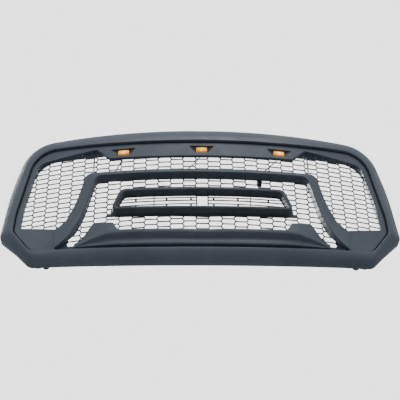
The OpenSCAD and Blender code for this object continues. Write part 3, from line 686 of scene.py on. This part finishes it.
# Each slat is (middle height, thickness)
SLATS = [(-38, 2.4), (-48.5, 3), (-61, 2.4), (-71.5, 3), (-84, 2.4)]
GRID_LOW = -92
GRID_HIGH = -31
WINDOW_HALF = 15.5
WINDOW_WALL = 4
RIB_X = 149
RIB_HALF = 1.5
TAB_X = (35, 110, 205)
TAB_HALF = 3
TAB_HEIGHT = 11
TABBED_SLATS = (-48.5, -71.5)


def box_loop(x0, x1, z0, z1):
    return [(x0, z0), (x1, z0), (x1, z1), (x0, z1)]


def bar(x0, x1, z0, z1, back, front, edge=0.5):
    return bent_plate("bar", [box_loop(x0, x1, z0, z1)], back, front, edge)


def build_grid():
    back = MESH_D + 1
    front = MESH_D + 5
    rim = [outline(SLOT_LIP_EDGE, -4), outline(SLOT_LIP_EDGE, 1.5)]
    parts = [bent_plate("rim", rim, back, front, 0.5)]
    for side in (-1, 1):
        for z, height in SLATS:
            reach = between(-z, [(31, 243), (90, 268)]) + 1
            ends = sorted((side * (WINDOW_HALF + 1), side * reach))
            parts.append(bar(*ends, z - height / 2, z + height / 2, back, front, 0.8))
        parts.append(bar(side * RIB_X - RIB_HALF, side * RIB_X + RIB_HALF, GRID_LOW, GRID_HIGH + 1,
                         back - 1, front - 1))
        for x in TAB_X:
            for z in TABBED_SLATS:
                parts.append(bar(side * x - TAB_HALF, side * x + TAB_HALF, z, z + TAB_HEIGHT, back,
                                 front - 1.5))
    window = box_loop(-WINDOW_HALF, WINDOW_HALF, GRID_LOW + 1.5, GRID_HIGH - 2.5)
    wall = WINDOW_HALF + WINDOW_WALL
    parts.append(bent_plate("window", [box_loop(-wall, wall, GRID_LOW, GRID_HIGH), window], back,
                            front + 0.6, 0.7))
    make_piece("slot_slats", merged("slot_slats", parts), grid_plastic,
               ("slot_grid",), 50)


# ---- Lower apron ----
# Where its sections stand, closest together along the raised end block
APRON_X = [0, 30, 60, 90, 120, 150, 180, 210, 235, 250, 255, 259, 264, 268, 272, 277, 282, 287, 291,
           298, 305, 312, 320, 327, 334, 338, 342, 350, 356, 360, 366, 372, 380, 388]


def apron_section(x):
    """The top edge, the lip, the hollow cove under it, the foot, and the inside back up."""
    top = between(x, [(0, -171), (253, -160), (257, -156), (272, -128), (282, -126), (334, -123.5),
                      (342, -137), (360, -166), (372, -180), (388, -188)])
    edge_d = APRON_D - between(x, [(253, 3), (272, 12), (334, 14), (388, 17)])
    lip_d = APRON_D - between(x, [(253, 0), (291, 2), (334, 8), (372, 14), (388, 16)])
    front = between(x, [(0, -173), (253, -164), (291, -163.5), (334, -172), (372, -184), (388, -190)])
    front = min(front, top - 1.5)
    low = front - 12
    foot = -219 + x * x / 8600
    drop = (low - foot) / 33
    cove = min(13, lip_d - FRAME_D - 2.5) / 13
    root = MESH_D + 0.2
    seat = FRAME_D + 0.2
    turn_in = 2.2 * cove + 0.2
    profile = [
        (root, top), (edge_d - 2, top - 0.2), (edge_d - 0.6, top - 0.6), (edge_d, top - 1.2),
        (lip_d - 0.25 * turn_in, front + 0.6), (lip_d, front - 1.4), (lip_d + 0.2, (front + low) / 2),
        (lip_d, low + turn_in), (lip_d - 0.3 * turn_in, low + 0.3 * turn_in), (lip_d - turn_in, low - 0.4),
        (lip_d - 6 * cove, low - 4.5 * drop), (lip_d - 10.5 * cove, low - 7.5 * drop),
        (lip_d - 12.6 * cove, low - 12 * drop), (lip_d - 13 * cove, low - 17 * drop),
        (lip_d - 11.6 * cove, low - 21.5 * drop), (lip_d - 9 * cove, low - 25 * drop),
        (lip_d - 6.6 * cove, low - 28.2 * drop), (lip_d - 6 * cove, low - 30 * drop),
        (lip_d - 6.6 * cove, low - 31.8 * drop), (lip_d - 8 * cove, foot), (seat, foot), (seat, foot + 2),
        (max(seat + 0.1, lip_d - 8 * cove - 3.4), foot + 2.4),
        (max(seat + 0.1, lip_d - 9 * cove - 2.8), low - 26 * drop),
        (lip_d - 14.5 * cove - 0.6, low - 17 * drop), (lip_d - 14 * cove - 1, low - 8 * drop),
        (lip_d - 3.5, low + 0.5), (lip_d - 3.5, front), (edge_d - 3.5, top - 2.2), (root, top - 2.2)]
    return [on_plan(x, d, z) for d, z in profile]


def build_apron():
    stations = [-x for x in reversed(APRON_X[1:])] + APRON_X
    mesh = loft("apron_shell", [apron_section(x) for x in stations], False)
    make_piece("apron_shell", mesh, apron_plastic, ("lower_apron",), 30)


# ---- Hexagon mesh sheets ----
COLUMN_PITCH = 39.2
# A cell's half width, point to point, as a share of the column pitch
CELL_HALF = 0.57
STRUT = 3.8
SMALLEST_HOLE = 12
# How far inside the groove a sheet's rim and its field stop
SHEET_MARGIN = 7.5
FIELD_MARGIN = 10.5
WING_COLUMNS = range(8, 15)
WING_ROWS = 19
WING_ROW_PITCH = 18
WING_LOW_ROW = -147
CENTRE_COLUMNS = range(-10, 11)
CENTRE_ROWS = 21
CENTRE_ROW_PITCH = 18.9
CENTRE_LOW_ROW = -216.5
# A sheet's corners, then its field's: the area that holes are cut in. The centre's are right halves.
WING_SHEET = [(345, 172), (400, 170), (478, 160), (532, 152), (551, 100), (565, 10), (573, -60),
              (574, -108), (470, -138), (433, -148), (418, -105), (382, -30), (360, 55), (345, 86)]
WING_FIELD = [(345.6, 168), (400, 166), (475, 156), (526, 147), (545, 98), (559, 10), (568, -60), (569, -103),
              (470, -132), (438, -140), (422, -105), (386, -30), (364, 58), (345.6, 88)]
CENTRE_SHEET = [(0, 127), (296, 130), (332, 168), (344, 171), (344, 60), (357, 10), (376, -75), (413, -150),
                (437, -178), (425, -206), (0, -216)]
CENTRE_FIELD = [(0, 123.5), (294, 126.5), (330, 163), (341, 167), (341, 60), (354, 9), (373, -75),
                (410, -150), (433, -178), (423, -195), (262, -182), (262, -163), (0, -163)]


def hexagon(x, z, row_pitch):
    half = COLUMN_PITCH * CELL_HALF
    h = (row_pitch - STRUT) / 2
    w = half - STRUT * 0.62
    f = COLUMN_PITCH - half - STRUT * 0.3
    return [(x - w, z), (x - f, z - h), (x + f, z - h), (x + w, z), (x + f, z + h), (x - f, z + h)]


def beyond(loop, a, b):
    """The part of a closed loop to the left of the line from a to b."""
    side = [(b[0] - a[0]) * (p[1] - a[1]) - (b[1] - a[1]) * (p[0] - a[0]) for p in loop]
    kept = []
    for j, p in enumerate(loop):
        if side[j - 1] * side[j] < 0:
            before = loop[j - 1]
            share = side[j - 1] / (side[j - 1] - side[j])
            kept.append((before[0] + (p[0] - before[0]) * share, before[1] + (p[1] - before[1]) * share))
        if side[j] >= 0:
            kept.append(p)
    return kept


def clipped(loop, window):
    """The part of a closed loop inside a convex window whose corners run anticlockwise."""
    for i, a in enumerate(window):
        loop = beyond(loop, a, window[(i + 1) % len(window)])
    return loop


def without_short_sides(loop, shortest=0.6):
    kept = [p for p, q in zip(loop, loop[-1:] + loop[:-1]) if math.dist(p, q) > shortest]
    return kept if len(kept) > 2 else []


def size_of(loop):
    return abs(area(loop)) if len(loop) > 2 else 0


def openings(columns, rows, row_pitch, low_row, field, trimmed=None):
    """The hexagon holes of a sheet, cut to the field's outline."""
    holes = []
    for c in columns:
        for i in range(rows):
            cell = hexagon(c * COLUMN_PITCH, low_row + (i + abs(c) % 2 / 2) * row_pitch, row_pitch)
            hole = clipped(field, cell)
            if trimmed:
                hole = trimmed(hole)
            hole = without_short_sides(hole)
            if size_of(hole) > SMALLEST_HOLE:
                holes.append(hole)
    return holes


def mirrored(loops):
    return [[(-x, z) for x, z in reversed(loop)] for loop in loops]


def with_left(right):
    """A closed loop from the right-hand half of it, whose ends are on the centre line."""
    return right + [(-x, z) for x, z in reversed(right[1:-1])]


def framed(loop, margin):
    """Draws a loop's points in to the groove outline where they lie outside it."""
    limit = outline(GROOVE_EDGE, margin)
    drawn = []
    for x, z in loop:
        near = min(limit, key=lambda p: (p.x - x) ** 2 + (p.y - z) ** 2)
        outside = Vector((x, z)).length > near.length and (abs(x) > abs(near.x) or abs(z) > abs(near.y))
        drawn.append((near.x, near.y) if outside else (x, z))
    return drawn


# The lines just outside the slot surround, each with the slot on its left
SLOT_SIDES = [((300, -14), (-300, -14)), ((-256, -14), (-287, -94)), ((-290, -94), (0, -108)),
              ((0, -108), (290, -94)), ((287, -94), (256, -14))]


def clear_of_slot(hole):
    """The largest part of a hole that lies to one side of the slot surround."""
    return max((beyond(hole, b, a) for a, b in SLOT_SIDES), key=size_of)


def build_wing_meshes():
    field = framed(WING_FIELD, FIELD_MARGIN)
    holes = openings(WING_COLUMNS, WING_ROWS, WING_ROW_PITCH, WING_LOW_ROW, field)
    wing = [framed(WING_SHEET, SHEET_MARGIN)] + holes
    for name, loops in (("mesh_right", wing), ("mesh_left", mirrored(wing))):
        mesh = bent_plate(name + "_sheet", loops, MESH_D - MESH_T, MESH_D, 0.8, column=60)
        make_piece(name + "_sheet", mesh, mesh_plastic, (name,), 50)


def build_centre_mesh():
    edge = framed(with_left(CENTRE_SHEET), SHEET_MARGIN)
    field = framed(with_left(CENTRE_FIELD), FIELD_MARGIN)
    holes = openings(CENTRE_COLUMNS, CENTRE_ROWS, CENTRE_ROW_PITCH, CENTRE_LOW_ROW, field,
                     clear_of_slot)
    slot = [tuple(p) for p in outline(SLOT_LIP_EDGE, -1)]
    mesh = bent_plate("mesh_centre_sheet", [edge, slot] + holes, MESH_D - MESH_T, MESH_D, 0.8,
                      column=60)
    make_piece("mesh_centre_sheet", mesh, mesh_plastic, ("mesh_centre",), 50)


# ---- Lamps ----
LENS_W = 35
LENS_H = 17
LENS_GAP = 0.3
FLUTES = 5
FLUTED_W = LENS_W - 6
# The pocket's walls: (distance behind the frame's face, share of the way from its rim to the lens)
POCKET_WALLS = ((0.6, 0), (1.6, 0), (6.5, 0.72), (8.5, 1), (14.5, 1))


def pocket_rings():
    """The pocket's inside, narrowing from its rim to the lens, then its outside coming back."""
    w = LENS_W / 2 + LENS_GAP
    h = LENS_H / 2 + LENS_GAP
    around_lens = [(-w, h), (w, h), (w, -h), (-w, -h)]
    rings = [[(px + (lx - px) * share, y, pz + (lz - pz) * share)
              for (px, pz), (lx, lz) in zip(pocket_corners(-0.6), around_lens)]
             for y, share in POCKET_WALLS]
    for y in (POCKET_WALLS[-1][0], POCKET_WALLS[0][0]):
        rings.append([(px, y, pz) for px, pz in pocket_corners(-0.1)])
    return rings


def build_pocket(side, place):
    rings = pocket_rings()
    points = [place @ Vector(p) for ring in rings for p in ring]
    faces = []
    for i in range(len(rings)):
        near = i * 4
        far = (i + 1) % len(rings) * 4
        for j in range(4):
            after = (j + 1) % 4
            faces.append((near + j, near + after, far + after, far + j))
    mesh = mesh_from("pocket_" + side, points, faces)
    pocket = make_piece("pocket_" + side, mesh, housing_plastic,
                        ("lamp_housing_" + side,), 30)
    soft = pocket.modifiers.new("soft_edges", "BEVEL")
    soft.width = 0.5 * MM
    soft.segments = 2
    pocket.modifiers.move(1, 0)


def build_lens(side, place):
    w = LENS_W / 2
    h = LENS_H / 2
    parts = [box_mesh("body", (-w, 1.6, -h), (w, 13.4, h), 1.4, place, 3)]
    pitch = FLUTED_W / FLUTES
    for i in range(FLUTES):
        left = -w + 3 + i * FLUTED_W / FLUTES
        parts.append(box_mesh("flute", (left, 0.7, -h + 2), (left + pitch - 0.5, 3, h - 2), 0.8, place))
    make_piece("lens_" + side, merged("lens_" + side, parts), lens_plastic,
               ("lamp_lens_" + side,), 50)


def build_lamp(x):
    place = plan_matrix(x, FRAME_D, LAMP_Z)
    build_pocket(SIDES[x], place)
    build_lens(SIDES[x], place)


# ---- Carried-over CAD nodes ----
def keep(node, material):
    """Shows a CAD node with its own mesh and a finished material."""
    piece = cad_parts[node]
    for i in range(len(piece.data.materials)):
        piece.data.materials[i] = material
    if not piece.data.materials:
        piece.data.materials.append(material)


def build_hardware():
    for side in ("left", "centre", "right"):
        refined("lamp_cap_" + side, cap_plastic, 0.7)
        refined("lamp_board_" + side, board_laminate, 0.2)
        keep("lamp_lead_" + side, cable_rubber)
    for node in ("tower_upper_left", "tower_upper_right", "tower_lower_left", "tower_lower_right",
                 "bonnet_tab_left", "bonnet_tab_right"):
        refined(node, structure_plastic, 0.5)
    keep("rear_carrier", structure_plastic)
    keep("surround_bosses", surround_plastic)
    keep("trim_bosses", arch_plastic)
    keep("harness_trunk", cable_rubber)
    refined("harness_connector", connector_plastic, 0.5)
    refined("harness_clips", clip_plastic, 0.3)
    refined("bolt_inserts", brass, 0.4)
    refined("top_seal", seal_foam, 1.2, 3)
    for node in sorted(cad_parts):
        if node.endswith("_screws"):
            keep(node, zinc)


# ---- Floor, lights and camera ----
def build_stage():
    bpy.ops.mesh.primitive_circle_add(vertices=96, radius=1.6, fill_type="NGON", location=(0, -0.3, -2.4))
    floor = bpy.context.object
    floor.name = "floor"
    material, tree, shader = new_material("floor")
    place = texture_place(tree)
    tone = span(tree, noise(tree, place, 4, 3), 0, 1)
    tree.links.new(blend_colours(tree, tone, (0.8, 0.8, 0.81), (0.84, 0.84, 0.85)),
                   shader.inputs["Base Color"])
    shader.inputs["Roughness"].default_value = 0.7
    floor.data.materials.append(material)


def area_light(name, place, target, energy, width, height, colour):
    light = bpy.data.lights.new(name, "AREA")
    light.shape = "RECTANGLE"
    light.size = width
    light.size_y = height
    light.energy = energy
    light.color = colour
    lamp = bpy.data.objects.new(name, light)
    lamp.location = place
    lamp.rotation_euler = (Vector(target) - Vector(place)).to_track_quat("-Z", "Y").to_euler()
    bpy.context.scene.collection.objects.link(lamp)


def build_world():
    """A pale surround for the camera, and soft light that falls off below the horizon."""
    world = bpy.data.worlds.new("studio")
    bpy.context.scene.world = world
    world.use_nodes = True
    tree = world.node_tree
    background = tree.nodes["Background"]
    place = tree.nodes.new("ShaderNodeTexCoord")
    split = tree.nodes.new("ShaderNodeSeparateXYZ")
    tree.links.new(place.outputs["Generated"], split.inputs[0])
    light = span(tree, split.outputs["Z"], 0, 1, -0.35, 0.7)
    soft = blend_colours(tree, light, (0.14, 0.155, 0.18), (0.46, 0.49, 0.54))
    path = tree.nodes.new("ShaderNodeLightPath")
    seen = blend_colours(tree, path.outputs["Is Camera Ray"], soft, (2.6, 2.6, 2.6))
    tree.links.new(seen, background.inputs["Color"])
    background.inputs["Strength"].default_value = 1.0


# Angles are in degrees and lengths in metres. The shift is a share of the picture's width.
VIEW_TURN = -2.278
VIEW_RISE = -35
VIEW_ROLL = -0.988
VIEW_DISTANCE = 3.0
VIEW_TARGET = Vector((0, -0.066, 0))
VIEW_SHIFT = -0.0037
# Millimetres at the target for each pixel
PIXEL_SIZE = 3.17
FRAME_PIXELS = 400


def build_camera():
    turn_angle = math.radians(VIEW_TURN)
    rise = math.radians(VIEW_RISE)
    level = Vector((math.sin(turn_angle), -math.cos(turn_angle), 0)) * math.cos(rise)
    back = level + Vector((0, 0, math.sin(rise)))
    right = unit(Vector((0, 0, 1)).cross(back))
    up = back.cross(right)
    roll = math.radians(VIEW_ROLL)
    rolled_right = right * math.cos(roll) + up * math.sin(roll)
    rolled_up = up * math.cos(roll) - right * math.sin(roll)
    lens = bpy.data.cameras.new("camera")
    lens.sensor_width = 36
    lens.lens = VIEW_DISTANCE / (PIXEL_SIZE * MM) * lens.sensor_width / FRAME_PIXELS
    lens.shift_x = VIEW_SHIFT
    lens.clip_end = 60
    camera = bpy.data.objects.new("camera", lens)
    turned = Matrix((rolled_right, rolled_up, back)).transposed().to_4x4()
    camera.matrix_world = Matrix.Translation(VIEW_TARGET + back * VIEW_DISTANCE) @ turned
    bpy.context.scene.collection.objects.link(camera)
    bpy.context.scene.camera = camera


build_camera()
build_world()
area_light("key", (0.2, -1.7, 2.1), (0, -0.1, 0), 30, 1.8, 0.8, (1.0, 0.99, 0.97))
area_light("left", (-2.2, -1.6, 0.6), (0, -0.1, 0), 12, 0.8, 2.0, (0.93, 0.97, 1.0))
area_light("right", (2.2, -1.4, 0.4), (0, -0.1, 0), 8, 1.2, 2.0, (0.95, 0.98, 1.0))
area_light("rear", (-0.9, 2.2, 1.5), (0, 0, 0), 90, 2.4, 1.2, (1.0, 1.0, 1.0))
build_stage()
build_surround()
build_frame()
build_arch()
build_slot()
build_grid()
build_apron()
build_wing_meshes()
build_centre_mesh()
for lamp_x in LAMP_X:
    build_lamp(lamp_x)
build_hardware()
